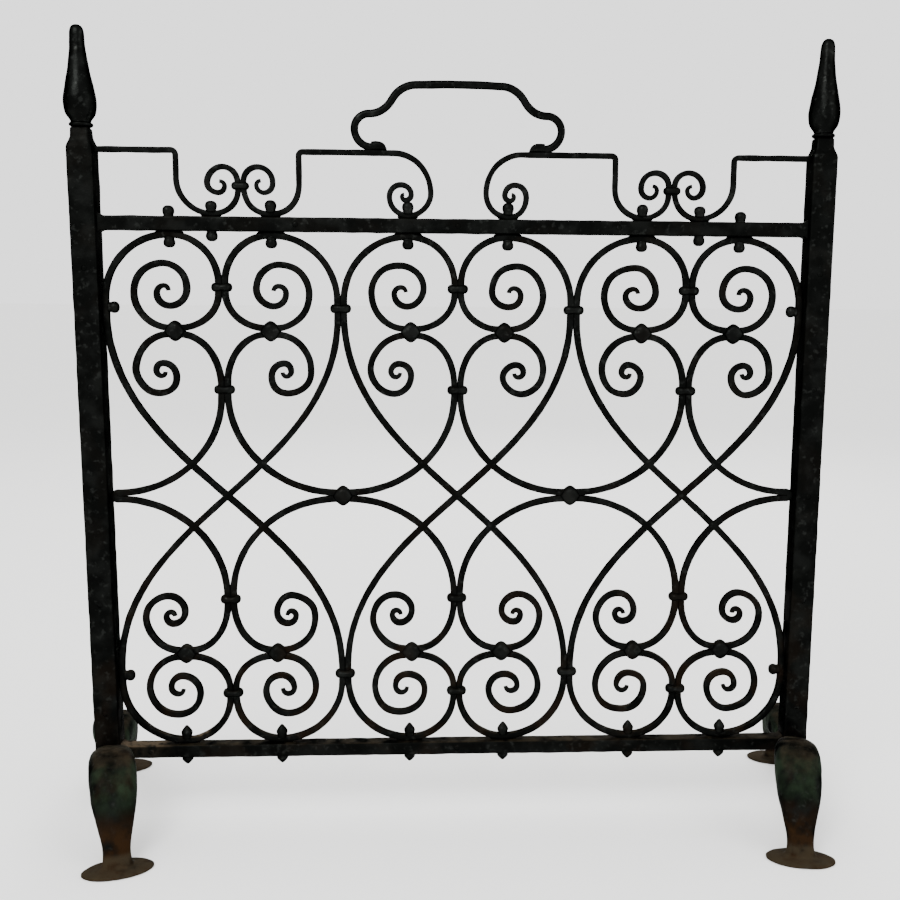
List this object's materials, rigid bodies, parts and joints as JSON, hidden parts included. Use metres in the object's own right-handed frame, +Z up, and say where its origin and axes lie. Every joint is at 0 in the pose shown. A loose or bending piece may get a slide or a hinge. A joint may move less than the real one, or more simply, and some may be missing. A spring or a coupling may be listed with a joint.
{
  "type": "fireplace screen",
  "caption": "Free-standing forged-iron fire screen with a grille of collared scrolls, scrolled cresting, flame finials, a carrying handle and sprung oval feet",
  "frame": {"origin": "on the floor under the middle of the screen", "axes": "+Z up, +X along the rails to the right as seen from the front, -Y out of the front of the screen"},
  "size_m": [0.833, 0.2775, 0.7918],
  "materials": {
    "frame_iron": "black forged iron with soft hammer marks and a slight gloss",
    "scroll_iron": "black forged iron, slightly glossy",
    "crest_iron": "black forged iron, slightly glossy",
    "collar_iron": "hand-forged black with worn crests",
    "finial_iron": "black forged iron with a soft sheen",
    "handle_iron": "black forged iron, smoother than the bars",
    "leg_iron": "forged iron with a green-grey sheen and brown rust near the floor"
  },
  "bodies": {
    "root": {"bottom_rail": "frame_iron", "bowl_scroll_lower_left": "scroll_iron", "bowl_scroll_lower_right": "scroll_iron", "bowl_scroll_upper_left": "scroll_iron", "bowl_scroll_upper_right": "scroll_iron", "carry_handle": "handle_iron", "collar_01": "collar_iron", "collar_02": "collar_iron", "collar_03": "collar_iron", "collar_04": "collar_iron", "collar_05": "collar_iron", "collar_06": "collar_iron", "collar_07": "collar_iron", "collar_08": "collar_iron", "collar_09": "collar_iron", "collar_10": "collar_iron", "collar_11": "collar_iron", "collar_12": "collar_iron", "collar_13": "collar_iron", "collar_14": "collar_iron", "collar_15": "collar_iron", "collar_16": "collar_iron", "collar_17": "collar_iron", "collar_18": "collar_iron", "collar_19": "collar_iron", "collar_20": "collar_iron", "collar_21": "collar_iron", "collar_22": "collar_iron", "collar_23": "collar_iron", "collar_24": "collar_iron", "collar_25": "collar_iron", "collar_26": "collar_iron", "collar_27": "collar_iron", "collar_28": "collar_iron", "collar_29": "collar_iron", "collar_30": "collar_iron", "crest_collar_left": "collar_iron", "crest_collar_right": "collar_iron", "crest_inner_left": "crest_iron", "crest_inner_right": "crest_iron", "crest_outer_left": "crest_iron", "crest_outer_right": "crest_iron", "finial_left": "finial_iron", "finial_right": "finial_iron", "leg_front_left": "leg_iron", "leg_front_right": "leg_iron", "leg_rear_left": "leg_iron", "leg_rear_right": "leg_iron", "long_scroll_1_left": "scroll_iron", "long_scroll_1_right": "scroll_iron", "long_scroll_2_left": "scroll_iron", "long_scroll_2_right": "scroll_iron", "long_scroll_3_left": "scroll_iron", "long_scroll_3_right": "scroll_iron", "post_left": "frame_iron", "post_right": "frame_iron", "side_scroll_left": "scroll_iron", "side_scroll_right": "scroll_iron", "top_rail": "frame_iron"}
  },
  "joints": []
}
